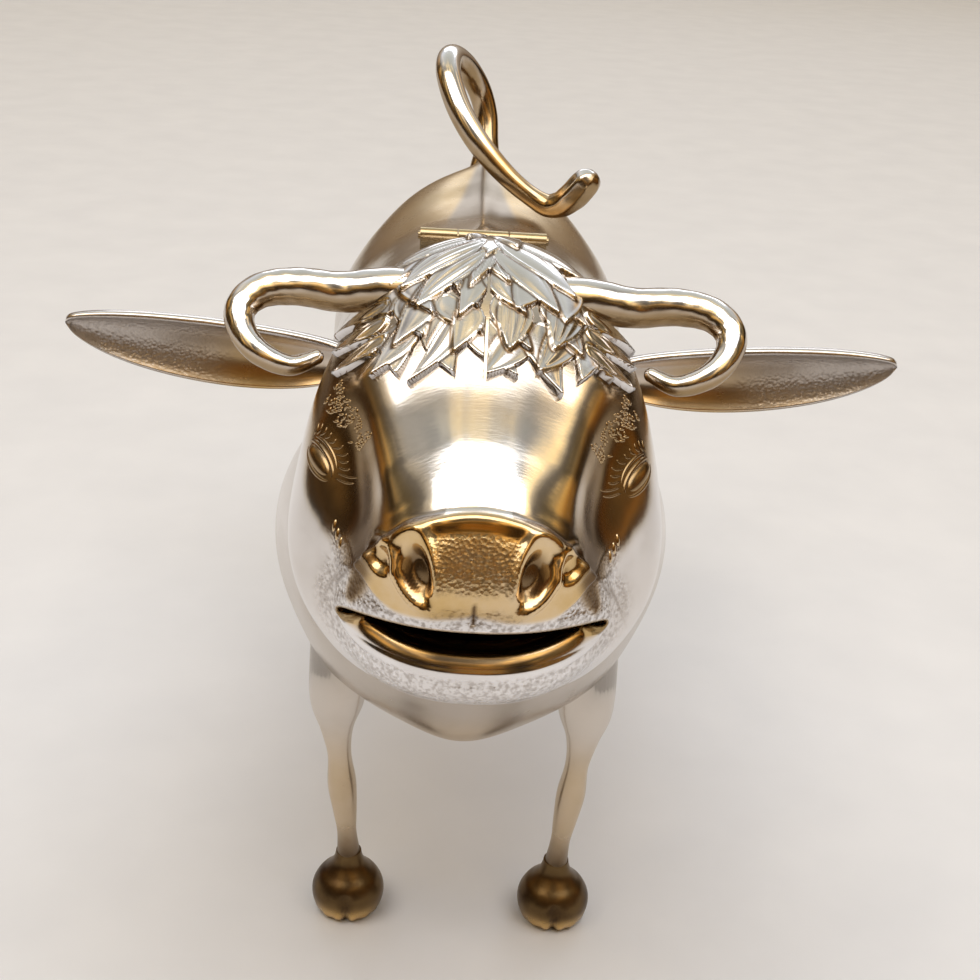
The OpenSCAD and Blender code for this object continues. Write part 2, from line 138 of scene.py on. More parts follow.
def metal(name, bright, shade, rough):
    """Worn polished metal. The mesh's attributes say where it is darker, mostly painted shade and dark
    reflections in hollows, creases and on side planes, matted by punching, painted gold as reflections
    of the warm room, or dulled to satin with a duller tint that is also painted shade. Patches of
    tarnish, soft dents and fine scratches lie over all of it."""
    material = bpy.data.materials.new(name)
    tree, add, ramp, maths, blend, noise = node_tools(material)
    shader = tree.nodes["Principled BSDF"]
    place = add("ShaderNodeTexCoord").outputs["Object"]
    dark, matte, warm, satin_and_shade = (add("ShaderNodeAttribute", attribute_name=key).outputs["Fac"]
                                for key in MARKS)
    cloud = noise(place, CLOUD_SCALE, 5.0, 0.6)
    speck = noise(place, SPECK_SCALE, 3.0)
    pits = add("ShaderNodeTexVoronoi", ("Vector", place), ("Scale", PIT_SCALE)).outputs["Distance"]
    stained = ramp(cloud, (0.46, grey(0)), (0.74, grey(PATCHES)))
    punched = maths("MULTIPLY", matte, ramp(speck, (0.40, grey(0)), (0.62, grey(0.75))))
    # painted shade from the dark attribute, together with real tarnish patches and punched specks
    tarnish_and_shade = maths("MAXIMUM", maths("ADD", dark, maths("MULTIPLY", stained, 0.35)), punched, clamp=True)
    # painted gold reflection of the warm room from the warm attribute, broken up by the same cloud
    painted_gold_reflection = maths("MULTIPLY", warm, ramp(cloud, (0.35, grey(0.75)), (0.6, grey(1))))
    # the satin tint is a rougher finish's duller colour that also paints shade
    dull, yellow = ([a * b for a, b in zip(bright, tint)] for tint in (SATIN_SHADE_TINT, WARM_TINT))
    clean = blend(satin_and_shade, (*bright, 1), (*dull, 1))
    clean = blend(painted_gold_reflection, clean, (*yellow, 1))
    tree.links.new(blend(tarnish_and_shade, clean, (*shade, 1)), shader.inputs["Base Color"])
    brushed = add("ShaderNodeMapping", ("Vector", place), ("Scale", SCRATCH_SCALE))
    scratch = noise(brushed.outputs[0], 1.0, 4.0)
    roughness_and_toe_glint = rough
    for mark, share in ((scratch, GRAIN), (tarnish_and_shade, 0.16), (satin_and_shade, 0.12), (matte, 0.26)):
        roughness_and_toe_glint = maths("ADD", roughness_and_toe_glint, maths("MULTIPLY", mark, share), clamp=mark is matte)
    tree.links.new(roughness_and_toe_glint, shader.inputs["Roughness"])
    swell = noise(place, DENT_SCALE, 1.0)
    soft = add("ShaderNodeBump", ("Height", swell), ("Distance", DENT_DEPTH), ("Strength", DENTS))
    fine = add("ShaderNodeBump", ("Height", scratch), ("Distance", SCRATCH_DEPTH), ("Strength", 0.35),
               ("Normal", soft.outputs[0]))
    beat = maths("MULTIPLY", matte, maths("ADD", pits, maths("MULTIPLY", speck, 0.7)))
    stipple = add("ShaderNodeBump", ("Height", beat), ("Distance", PIT_DEPTH), ("Strength", 0.8),
                  ("Normal", fine.outputs[0]))
    tree.links.new(stipple.outputs[0], shader.inputs["Normal"])
    shader.inputs["Metallic"].default_value = 1.0
    return material


SILVER = metal("silver", (0.83, 0.815, 0.82), (0.15, 0.095, 0.05), 0.10)
DARK = metal("dark_silver", (0.80, 0.54, 0.22), (0.075, 0.045, 0.022), 0.16)
# A dimmer, greyer copy of the silver for the ears, painting their darker reflections.
GREY = metal("grey_silver", (0.74, 0.71, 0.70), (0.10, 0.07, 0.05), 0.15)
# A darker gold-brown copy of the silver for the hinge and the other CAD parts that stay: painted shade.
SHADED_SILVER = metal("shaded_silver", (0.50, 0.40, 0.25), (0.12, 0.08, 0.04), 0.18)
GILT = metal("gilt_silver", (0.92, 0.66, 0.30), (0.20, 0.11, 0.04), 0.20)


# --- Floor and light ---
FLOOR = 4.0


def make_floor():
    corners = ((-1, -1), (1, -1), (1, 1), (-1, 1))
    data = bpy.data.meshes.new("floor")
    data.from_pydata([(x * FLOOR, y * FLOOR, 0) for x, y in corners], [], [(0, 1, 2, 3)])
    floor = bpy.data.objects.new("floor", data)
    scene.collection.objects.link(floor)
    material = bpy.data.materials.new("pale_floor")
    tree, add, ramp, _, _, noise = node_tools(material)
    place = add("ShaderNodeTexCoord").outputs["Object"]
    fibre = noise(place, 60.0, 6.0)
    tint = ramp(fibre, (0.3, (0.74, 0.78, 0.88)), (0.7, (0.78, 0.82, 0.92)))
    shader = tree.nodes["Principled BSDF"]
    tree.links.new(tint, shader.inputs["Base Color"])
    shader.inputs["Roughness"].default_value = 0.75
    data.materials.append(material)


def make_world():
    """A room as polished silver sees it: brown and amber round the horizon, pale overhead.
    The camera itself sees a plain pale backdrop."""
    world = bpy.data.worlds.new("studio")
    scene.world = world
    tree, add, ramp, maths, blend, noise = node_tools(world)
    way = add("ShaderNodeTexCoord").outputs["Generated"]
    across, along, height = add("ShaderNodeSeparateXYZ", (0, way)).outputs
    front = ramp(height, (0.0, (0.030, 0.018, 0.010)), (0.2, (0.10, 0.055, 0.022)),
                 (0.45, (0.38, 0.24, 0.09)), (0.75, (0.85, 0.80, 0.70)), (1.0, (0.60, 0.60, 0.55)))
    back = ramp(height, (0.0, (0.16, 0.11, 0.07)), (0.2, (0.36, 0.28, 0.20)), (0.40, (0.50, 0.43, 0.35)),
                (0.52, (0.85, 0.88, 0.92)), (0.8, (0.66, 0.66, 0.60)), (1.0, (0.52, 0.52, 0.46)))
    patch = noise(way, 3.4, 2.0)
    amber = ramp(patch, (0.40, (0.20, 0.18, 0.16)), (0.52, (0.8, 0.7, 0.55)), (0.66, (2.6, 1.9, 0.9)))
    lamps = blend(1.0, front, amber, "MULTIPLY")
    room = blend(ramp(along, (0.0, grey(0)), (0.4, grey(1))), lamps, back)
    aside = ramp(height, (0.0, (0.045, 0.026, 0.012)), (0.25, (0.16, 0.095, 0.035)),
                 (0.5, (0.55, 0.42, 0.22)), (0.75, (0.75, 0.72, 0.66)))
    flank = blend(1.0, aside, amber, "MULTIPLY")
    room = blend(ramp(maths("ABSOLUTE", across), (0.45, grey(0)), (0.72, grey(1))), room, flank)
    seen = add("ShaderNodeLightPath").outputs["Is Camera Ray"]
    colour = blend(seen, room, (0.85, 0.85, 0.86, 1))
    tree.links.new(colour, tree.nodes["Background"].inputs[0])


LIGHT_TARGET = Vector((0, 0, 0.05))


def area_light(name, place, size, power, colour):
    data = bpy.data.lights.new(name, "AREA")
    data.shape = "RECTANGLE"
    data.size, data.size_y = size
    data.energy = power
    data.color = colour
    lamp = bpy.data.objects.new(name, data)
    lamp.location = place
    lamp.rotation_mode = "QUATERNION"
    lamp.rotation_quaternion = (LIGHT_TARGET - Vector(place)).to_track_quat("-Z", "Y")
    lamp.visible_camera = False
    scene.collection.objects.link(lamp)


make_floor()
make_world()
area_light("overhead", (0, -0.27, 0.9), (1.5, 0.56), 6.2, (1.0, 0.99, 0.97))
area_light("behind", (0.1, 1.0, 0.75), (1.0, 0.35), 1.5, (0.95, 0.97, 1.0))
scene.view_settings.view_transform = "Standard"


# --- Mesh tools ---
def mesh(name, points, faces, body, material, replaces, masks, normals=None, extra=None):
    """A piece from points in millimetres. masks are point attributes for its material, normals are
    its own smooth normals, and extra is a second material with the faces that take it."""
    data = bpy.data.meshes.new(name)
    data.from_pydata((np.asarray(points) * MM).tolist(), [], faces)
    data.materials.append(material)
    data.polygons.foreach_set("use_smooth", np.ones(len(data.polygons), bool))
    if extra is not None:
        data.materials.append(extra[0])
        chosen = np.zeros(len(data.polygons), np.int32)
        chosen[extra[1]] = 1
        data.polygons.foreach_set("material_index", chosen)
    for key in MARKS:
        values = np.zeros(len(points), np.float32)
        values[:] = masks.get(key, 0)
        data.attributes.new(key, "FLOAT", "POINT").data.foreach_set("value", values)
    data.update()
    if normals is not None:
        data.normals_split_custom_set_from_vertices(np.asarray(normals).tolist())
    piece = bpy.data.objects.new(name, data)
    scene.collection.objects.link(piece)
    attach(piece, body)
    if replaces:
        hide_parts(*replaces)


def smooth(points, t):
    """Points on a smooth curve through a list of points, at places t along the list."""
    points = np.asarray(points, float)
    t = np.atleast_1d(t).astype(float)
    last = len(points) - 1
    i = np.clip(np.floor(t).astype(int), 0, last - 1)
    f = (t - i)[:, None]
    a, b, c, d = (points[np.clip(i + k, 0, last)] for k in (-1, 0, 1, 2))
    return 0.5 * (2 * b + (c - a) * f + (2 * a - 5 * b + 4 * c - d) * f**2 + (3 * b - a - 3 * c + d) * f**3)


def grid_faces(rows, columns, wrap=False, flip=False, base=0):
    """Quads of a grid of points numbered row by row."""
    i, k = np.meshgrid(np.arange(rows - 1), np.arange(columns if wrap else columns - 1), indexing="ij")
    m = (k + 1) % columns
    quads = np.stack([i * columns + k, i * columns + m, (i + 1) * columns + m, (i + 1) * columns + k], -1)
    quads = quads.reshape(-1, 4) + base
    return (quads[:, ::-1] if flip else quads).tolist()


def band(a, b):
    """Quads between two closed loops of point numbers."""
    return np.stack([a, np.roll(a, -1), np.roll(b, -1), b], -1).tolist()


def sheet_faces(rows, columns):
    """Faces of a closed sheet: a grid of points, the same grid behind it, and their edge."""
    n = rows * columns
    number = np.arange(n).reshape(rows, columns)
    border = np.concatenate([number[0], number[1:, -1], number[-1, -2::-1], number[-2:0:-1, 0]])
    return grid_faces(rows, columns) + grid_faces(rows, columns, flip=True, base=n) + band(border + n, border)


def capped_faces(rows, sides):
    """Faces of a closed bar: rings of points in a row, with a flat cap at each end."""
    caps = [tuple(range(sides))[::-1], tuple(range((rows - 1) * sides, rows * sides))]
    return grid_faces(rows, sides, wrap=True) + caps


def steps(place):
    """Smooth step from 0 to 1."""
    x = np.clip(place, 0, 1)
    return x * x * (3 - 2 * x)


def bell(x):
    """1 at zero, falling smoothly to both sides."""
    return np.exp(-(x**2))


def circle(sides):
    """Evenly spaced angles of a full turn."""
    return np.linspace(0, 2 * math.pi, sides, endpoint=False)


LINE_SAMPLES = 40


def near(points, line):
    """Distance of each point to a smooth line through a few points, and the place along it, 0 to 1."""
    marks = smooth(line, np.linspace(0, len(line) - 1, LINE_SAMPLES))
    flat = points.reshape(-1, 3)
    best = np.full(len(flat), 1e9)
    where = np.zeros(len(flat))
    for j, (a, b) in enumerate(zip(marks[:-1], marks[1:])):
        share = np.clip((flat - a) @ (b - a) / ((b - a) @ (b - a)), 0, 1)
        far = np.linalg.norm(flat - a - share[:, None] * (b - a), axis=1)
        closer = far < best
        best[closer] = far[closer]
        where[closer] = (j + share[closer]) / (LINE_SAMPLES - 1)
    shape = points.shape[:-1]
    return best.reshape(shape), where.reshape(shape)


def bulge(points, centre, reach, height):
    """A soft swelling round a centre, with its own reach along each axis."""
    gap = (points - np.asarray(centre, float)) / np.asarray(reach, float)
    return height * np.exp(-(gap**2).sum(-1))


# --- The cow's skin: the same cross-sections as the CAD shells ---
# Each is: top point's y and z, bottom point's y and z, half width, set-back of the sides, power of the
# outline (1 is an ellipse, less is squarer), and how much wider it is below than above.
REAR = [(66.3, 60.5, 66.3, 51.0, 4.2, 0, 1, 0), (65.1, 67.0, 65.1, 46.0, 9.8, 0, 1, 0),
        (62.6, 71.0, 62.6, 41.0, 14.0, 0, 1, 0), (59.0, 72.9, 59.0, 37.0, 17.0, 0, 1, 0),
        (54.0, 72.4, 54.0, 33.0, 19.2, 0, 1, 0), (48.5, 71.1, 48.5, 30.0, 20.6, 0, 1, 0)]
FRONT = [(-18.0, 70.9, -18.5, 29.2, 21.0, 0, 1, 0), (-23.5, 73.4, -26.0, 31.0, 20.5, 0, 1, 0),
         (-27.8, 77.0, -33.8, 33.8, 18.7, 0, 1, 0), (-31.3, 81.2, -39.6, 40.2, 16.4, 0, 1, 0),
         (-34.8, 85.6, -44.5, 48.0, 14.8, 0, 0.98, 0.05)]
HEAD = [(-38.6, 88.8, -50.2, 53.4, 14.8, 0, 0.95, 0.10), (-43.6, 90.0, -55.0, 55.0, 15.2, 0, 0.92, 0.15),
        (-50.4, 87.2, -58.4, 55.8, 14.8, 0.3, 0.90, 0.22), (-57.0, 82.6, -61.2, 56.2, 13.0, 1.2, 0.88, 0.24),
        (-62.6, 79.2, -63.8, 57.2, 11.4, 3.0, 0.88, 0.22), (-67.0, 76.0, -66.2, 58.8, 10.9, 5.0, 0.86, 0.14),
        (-69.5, 72.2, -67.5, 60.8, 11.0, 6.1, 0.86, 0.05), (-69.8, 67.6, -67.3, 62.7, 10.9, 5.4, 0.86, 0)]
WALL = 0.8
LIP_ROLL = 2.2
LIP_MARKS = {"dark": 0.15, "matte": 0.0, "warm": 1.0, "satin_and_shade": 0.0}
BARREL_R, BARREL_Z, BARREL_BACK, BARREL_FRONT = 21.0, 49.3, 42.0, -12.0
HOLE_Y, HOLE_A, HOLE_B = 7.3, 15.5, 11.5
COLUMNS, CROWDING = 280, 0.3
CAP_ROWS = 8


def barrel_section(y):
    return (y, BARREL_Z + BARREL_R, y, BARREL_Z - BARREL_R, BARREL_R, 0, 1, 0)


BARREL = [barrel_section(y) for y in (BARREL_BACK, BARREL_BACK - 6, BARREL_FRONT + 6, BARREL_FRONT)]
SECTIONS = REAR + BARREL + FRONT + HEAD


def skin_rows():
    """Every row of the skin from rump to lips with its hole angle, and the number of the row where
    trunk and head meet."""
    first, last = len(REAR), len(REAR) + len(BARREL) - 1
    joint = last + len(FRONT)
    cap = [np.array(REAR[0]) for _ in range(CAP_ROWS)]
    middle_z = (REAR[0][1] + REAR[0][3]) / 2
    for section, s in zip(cap, np.sin(np.linspace(0.02, 1.4, CAP_ROWS))):
        section[[0, 2]] += 0.5 * (1 - s * s)
        section[1] = middle_z + (section[1] - middle_z) * s
        section[3] = middle_z + (section[3] - middle_z) * s
        section[4] *= s
    rear = smooth(SECTIONS, np.arange(0, first, 0.125))
    turn = np.radians(np.arange(0, 181, 5))
    hole = [barrel_section(y) for y in HOLE_Y + HOLE_A * np.cos(turn)]
    behind = [barrel_section(y) for y in np.linspace(BARREL_BACK, HOLE_Y + HOLE_A + 1, 16)]
    front = smooth(SECTIONS, np.arange(last, joint, 0.1))
    head = smooth(SECTIONS, np.arange(joint, len(SECTIONS) - 1 + 1e-6, 0.05))
    rows = np.vstack([cap, rear, behind, hole, front, head])
    start = len(cap) + len(rear) + len(behind)
    gap = np.zeros(len(rows))
    gap[start:start + len(hole)] = np.arcsin(HOLE_B * np.sin(turn) / BARREL_R)
    gap[gap < 1e-6] = 0
    return rows, gap, len(rows) - len(head)


def skin_points(rows, gap):
    """Each row's points, from the spine round the belly and back, closer together at the top."""
    v = np.linspace(0, 1, COLUMNS + 1)
    share = v - CROWDING / (2 * math.pi) * np.sin(2 * math.pi * v)
    u = gap[:, None] + (2 * math.pi - 2 * gap[:, None]) * share
    ty, tz, by, bz, half, back, square, pear = (rows[:, j, None] for j in range(8))
    c, s = np.cos(u), np.sin(u)
    c, s = np.sign(c) * np.abs(c) ** square, np.sign(s) * np.abs(s) ** square
    x = half * s * (1 - pear * np.cos(u))
    y = (ty + by) / 2 + (ty - by) / 2 * c + back * np.sin(u) ** 2
    z = (tz + bz) / 2 + (tz - bz) / 2 * c
    return np.stack([x, y, z], -1)


def skin_normals(points, gap):
    down = np.gradient(points, axis=0)
    padded = np.concatenate([points[:, -2:-1], points, points[:, 1:2]], 1)
    around = (padded[:, 2:] - padded[:, :-2]) / 2
    around[gap > 0] = np.gradient(points[gap > 0], axis=1)
    return unit(np.cross(down, around))


# --- Relief of the skin; x is given for one side only ---
# Each swelling is: its centre, its reach along each axis, and its height.
SWELLINGS = [((19, 52, 52), (7, 9, 12), 1.3), ((18, 54, 38), (8, 7, 7), 1.0),
             ((20, 38, 54), (8, 5, 12), -0.6), ((19, -22, 52), (6, 7, 12), 0.5),
             ((15, -27, 36), (6, 6, 6), 0.9), ((0, -35, 33), (5, 6, 5), 1.0)]
PAD_TOP, PAD_LOW = 76.1, 68.9
BRIDGE_EDGE = [(10.0, -51.5, 82.2), (8.7, -55.2, 80.3), (7.9, -59.0, 78.1), (7.2, -62.5, 76.2),
               (6.7, -65.2, 74.6)]
NOSTRIL_X, NOSTRIL_Z, NOSTRIL_WIDE, NOSTRIL_TALL = 4.4, 71.7, 1.25, 2.05
DIMPLE_X, DIMPLE_Z = 7.0, 71.7
RIDGE_Y, RIDGE_HIGH, RIDGE_HALF = 33, 0.45, 1.5
ROOT_Y, ROOT_Z, ROOT_HIGH, ROOT_REACH = 61.5, 71.5, 2.6, 2.8
CHEEK, TEMPLE, BREAST = (14.2, -51, 66), (12.0, -43.5, 82.0), (0, -36, 34)
EYE_BACK, EYE_FRONT = np.array((14.2, -51.6, 74.8)), np.array((12.0, -57.6, 73.4))
CHEEK_PLANE = [(12.8, -46.5, 81.2), (12.0, -51.0, 79.2), (10.7, -56.0, 76.2), (9.9, -59.8, 73.2),
               (9.1, -64.3, 71.0), (9.4, -65.7, 69.6), (9.6, -65.1, 67.8)]


def sculpt(points, lip_gap, upper):
    """The cow's relief: how far each point stands out along its normal, and its marks for the metal.
    lip_gap is the distance from the lips over the skin, and upper is true above the mouth."""
    side = points * 1.0
    side[..., 0] = np.abs(side[..., 0])
    x, y, z = side[..., 0], side[..., 1], side[..., 2]
    out = np.zeros(points.shape[:-1])
    dark = np.zeros_like(out)
    # haunches, shoulders, brisket, the ridge of the spine behind the lid, and the root of the tail
    for centre, reach, height in SWELLINGS:
        out += bulge(side, centre, reach, height)
    out += RIDGE_HIGH * bell(x / RIDGE_HALF) * steps((y - RIDGE_Y) / 5) * (z > 60)
    root = np.sqrt(x**2 + ((y - ROOT_Y) / 1.3) ** 2 + (z - ROOT_Z) ** 2)
    out += ROOT_HIGH * np.exp(-root / ROOT_REACH)
    # the bridge of the nose stands up between two soft edges, with hollow planes beside it
    far, along = near(side, BRIDGE_EDGE)
    fade = steps(along / 0.15) * steps((0.95 - along) / 0.3)
    out += 0.60 * bell(far / 2.8) * fade
    far, along = near(side, CHEEK_PLANE)
    out -= 0.75 * bell(far / 2.6) * steps((along - 0.15) / 0.2) * steps((0.75 - along) / 0.3)
    # The hollow planes beside the bridge are painted dark brown and gold: painted reflection and shade of the
    # room.
    wide = 4.4 - 3.6 * np.clip((along - 0.35) / 0.65, 0, 1)
    warm = 0.95 * np.exp(-(far / wide) ** 4)
    dark += (0.70 + 0.26 * steps((along - 0.35) / 0.2)) * np.exp(-(far / (0.90 * wide)) ** 4)
    out += bulge(side, CHEEK, (5, 7, 6), 0.7)
    # nose pad with its raised arch, nostrils and the hollow beside each of them
    ahead = steps((-59 - y) / 2)
    arch = PAD_TOP - 0.0583 * x**2 - 0.00015 * x**4
    low = PAD_LOW - 0.7 * np.sin(math.pi * np.clip(x / 11, 0, 1))
    low += np.minimum(0.12 * np.maximum(x - 5.5, 0) ** 2, 1.5)
    pad = steps((arch - z) / 0.6 + 0.5) * steps((z - low) / 0.7 + 0.5) * ahead
    rim = bell((arch - z - 0.45) / 0.50) * steps((z - low + 0.5) / 0.8) * ahead
    out += 0.34 * pad + 0.30 * rim
    # painted shade in the crease along the top of the pad's arch
    dark += 0.55 * bell((z - arch - 0.25) / 0.28) * ahead * (x > 2.5)
    across, rise = (x - NOSTRIL_X) / NOSTRIL_WIDE, (z - NOSTRIL_Z) / NOSTRIL_TALL
    lean = across - 0.30 * rise + 0.25 * rise**2
    ring = np.sqrt(lean**2 + rise**2)
    out -= 1.15 * steps((1.0 - ring) / 0.5) * ahead
    out += 0.34 * bell((ring - 1.28) / 0.26) * ahead
    # painted shade inside the nostrils
    dark += 0.85 * steps((0.95 - ring) / 0.35) * ahead
    ring = np.hypot(x - DIMPLE_X, z - DIMPLE_Z)
    out -= 0.35 * steps((1 - ring) / 0.6) * ahead
    out += 0.16 * bell((ring - 1.25) / 0.25) * ahead
    out -= bulge(side, (0, -69.5, 72.6), (1.9, 3, 2.2), 0.35)
    # slit under the nose, lip edges, the matted lip and chin, and the grain of the nose pad
    slit = bell(x / 0.16) * steps((z - 67.9) / 0.3) * steps((70.1 - z) / 0.4) * ahead
    out -= 0.28 * slit
    lips = bell((lip_gap - 0.5) / 0.5)
    out += 0.14 * lips
    out -= 0.16 * bell((lip_gap - 1.5) / 0.5) * ~upper
    strip = steps((low + 0.1 - z) / 0.5) * upper * ahead
    chin = steps((lip_gap - 0.7) / 0.6) * steps((6.0 - lip_gap) / 3.0) * ~upper
    matte = np.clip(strip * 0.75 + chin * 0.55, 0, 1)
    centre = steps((4.5 - x) / 2.5) * bell((z - 68.9) / 0.55) * upper * ahead
    matte = np.maximum(matte, 0.8 * centre)
    grainy = steps((3.4 - x) / 0.8) * steps((z - 70.2) / 0.8) * steps((arch - 1.1 - z) / 0.6) * ahead
    matte = np.maximum(matte, 0.55 * grainy)
    # the slit is painted dark as shade in its groove
    dark = np.clip(dark + slit + 0.25 * centre, 0, 1)
    # painted gold and champagne reflections of the warm room on the nose pad, forehead, temples, rump and
    # breast, and the satin of the body with its painted shade
    warm = np.maximum(warm, pad)
    # The brow is painted champagne with a little painted shade, as the ceiling it reflects.
    brow = steps((z - 79) / 3) * steps((-44 - y) / 4) * steps((11 - x) / 4)
    warm = np.maximum(warm, 0.28 * brow)
    dark += 0.12 * brow
    warm = np.maximum(warm, 0.9 * bulge(side, TEMPLE, (5, 5, 5), 1))
    rump = steps((y - 34) / 10) * steps((z - 57) / 11)
    # The rump is painted tan and darker as reflections of the room, with a painted blue-grey reflection on
    # its middle facet.
    facet = steps((0.8 + 4.2 * np.clip((60 - y) / 18, 0, 1) - x) / 1.2 + 0.5) * rump
    warm = np.maximum(warm * (1 - facet), 0.7 * rump * (1 - facet))
    dark += 0.18 * rump + 0.22 * facet
    # Satin is a rougher finish whose duller tint is painted shade, darker towards the bottom of the body and
    # on the lower cheeks.
    satin_and_shade = np.maximum(steps((64 - z) / 18) * steps((y + 49) / 8), rump)
    satin_and_shade = np.maximum(satin_and_shade, 0.45 * steps((71 - z) / 6) * steps((x - 9) / 4))
    warm = np.maximum(warm, 0.5 * bulge(side, BREAST, (7, 8, 4), 1))
    return out, {"dark": np.clip(dark, 0, 1), "matte": matte, "warm": np.clip(warm, 0, 1), "satin_and_shade": satin_and_shade}


def make_shell():
    """Trunk and head, each a closed wall with the sculpted skin outside and a gilt lining inside.
    Returns the whole outer skin, for the work that is laid on it."""
    rows, gap, joint = skin_rows()
    base = skin_points(rows, gap)
    base_normals = skin_normals(base, gap)
    apart = np.linalg.norm(np.diff(base, axis=0), axis=-1)
    lip_gap = np.vstack([np.cumsum(apart[::-1], axis=0)[::-1], np.zeros((1, COLUMNS + 1))])
    v = np.linspace(0, 2 * math.pi, COLUMNS + 1)
    height = np.cos(v - CROWDING * np.sin(v))[None, :]
    out, fields = sculpt(base, lip_gap, height > 0)
    outer = base + base_normals * out[..., None]
    normals = skin_normals(outer, gap)
    roll = LIP_ROLL * bell(lip_gap / 2.4) * steps(-height / 0.75)
    thin = 1 - 0.7 * bell(height / 0.4) * bell(lip_gap / 1.5)
    lining = base - base_normals * (WALL * thin + roll + np.clip(-out, 0, None))[..., None]
    n = COLUMNS + 1
    pieces = (("trunk", 0, joint + 1, ("body_left", "body_right")),
              ("head", joint, len(rows), ("head_left", "head_right")))
    for name, first, last, nodes in pieces:
        part = slice(first, last)
        count = last - first
        layer = count * n
        number = np.arange(layer).reshape(count, n)
        closed = gap[part] == 0
        number[closed, -1] = number[closed, 0]
        points = [outer[part].reshape(-1, 3), lining[part].reshape(-1, 3)]
        normal = [normals[part].reshape(-1, 3), -base_normals[part].reshape(-1, 3)]
        quads = np.stack([number[:-1, :-1], number[:-1, 1:], number[1:, 1:], number[1:, :-1]], -1)
        quads = quads.reshape(-1, 4)
        faces = quads.tolist() + (quads[:, ::-1] + layer).tolist()
        lined = np.arange(len(quads), len(faces))
        for row in range(count - 1):
            if not closed[row:row + 2].all():
                a, b = number[row:row + 2, 0]
                c, d = number[row:row + 2, -1]
                faces += [(a, b, b + layer, a + layer), (d, c, c + layer, d + layer)]
        marks = {key: [field[part].reshape(-1)] * 2 for key, field in fields.items()}
        if name == "head":
            lip = number[-1, :-1]
            edge, inside = outer[-1, :-1], lining[-1, :-1]
            thick = np.linalg.norm(edge - inside, axis=1)[:, None]
            ahead = unit(edge - outer[-2, :-1])
            outward = unit(edge - inside)
            loops = [lip]
            for turn in np.radians((36, 72, 108, 144)):
                way = math.cos(turn) * outward + math.sin(turn) * ahead
                loops.append(sum(map(len, points)) + np.arange(len(lip)))
                points.append((edge + inside) / 2 + thick / 2 * way)
                normal.append(way)
                for key, level in LIP_MARKS.items():
                    marks[key].append(np.full(len(lip), level))
            loops.append(lip + layer)
            for before, now in zip(loops[:-1], loops[1:]):
                faces += band(before, now)
            faces += band(number[0, :-1] + layer, number[0, :-1])
        else:
            points.append([outer[0, :-1].mean(0), lining[0, :-1].mean(0)])
            normal.append([(0, 1, 0), (0, -1, 0)])
            for mark in marks.values():
                mark.append(np.zeros(2))
            ring = number[0, :-1]
            faces += [(2 * layer, b, a) for a, b in zip(ring, np.roll(ring, -1))]
            faces += [(2 * layer + 1, a + layer, b + layer) for a, b in zip(ring, np.roll(ring, -1))]
            faces += band(number[-1, :-1], number[-1, :-1] + layer)
        used = np.unique(np.concatenate([np.ravel(f) for f in faces]))
        renumber = np.full(sum(map(len, points)), -1)
        renumber[used] = np.arange(len(used))
        faces = [tuple(renumber[list(f)])[::-1] for f in faces]
        masks = {key: np.concatenate(mark)[used] for key, mark in marks.items()}
        mesh(name, np.vstack(points)[used], faces, "root", SILVER, nodes, masks,
             np.vstack(normal)[used], extra=(GILT, lined))
    whole = np.arange(len(rows) * n).reshape(len(rows), n)
    quads = np.stack([whole[:-1, :-1], whole[1:, :-1], whole[1:, 1:], whole[:-1, 1:]], -1).reshape(-1, 4)
    return BVHTree.FromPolygons(outer.reshape(-1, 3).tolist(), quads.tolist())


# --- Bars, eggs and leaves ---
def tube(route, radius, sides, fine, shape=None, rounded=True):
    """Points, faces and outward directions of a round bar through a route, with fine steps between
    its points. radius goes along it, shape(place, angle) scales it, and rounded is for its two ends."""
    count = (len(route) - 1) * fine + 1
    t = np.linspace(0, len(route) - 1, count)
    middle = smooth(route, t)
    thick = smooth(np.asarray(radius, float)[:, None], t)[:, 0]
    heading = unit(np.gradient(middle, axis=0))
    across = [unit(np.cross(heading[0], (0, 1, 0.3)))]
    for way in heading[1:]:
        across.append(unit(across[-1] - (across[-1] @ way) * way))
    across = np.array(across)
    other = np.cross(heading, across)
    caps = np.radians(np.arange(10, 90, 16)) if rounded else np.zeros(0)
    stations = [(middle[0] - heading[0] * thick[0] * math.cos(a), thick[0] * math.sin(a), 0) for a in caps]
    stations += [(middle[j], thick[j], j) for j in range(count)]
    stations += [(middle[-1] + heading[-1] * thick[-1] * math.cos(a), thick[-1] * math.sin(a), count - 1)
                 for a in caps[::-1]]
    angle = circle(sides)
    rings, ways = [], []
    for centre, r, j in stations:
        scale = np.ones(sides) if shape is None else shape(t[j] / t[-1], angle)
        way = np.cos(angle)[:, None] * across[j] + np.sin(angle)[:, None] * other[j]
        rings.append(centre + r * scale[:, None] * way)
        ways.append(unit(rings[-1] - centre))
    n = len(rings)
    points = np.vstack([*rings, rings[0].mean(0), rings[-1].mean(0)])
    normals = np.vstack([*ways, -heading[0], heading[-1]])
    faces = grid_faces(n, sides, wrap=True)
    faces += [(n * sides, (k + 1) % sides, k) for k in range(sides)]
    top = (n - 1) * sides
    faces += [(n * sides + 1, top + k, top + (k + 1) % sides) for k in range(sides)]
    return points, faces, normals


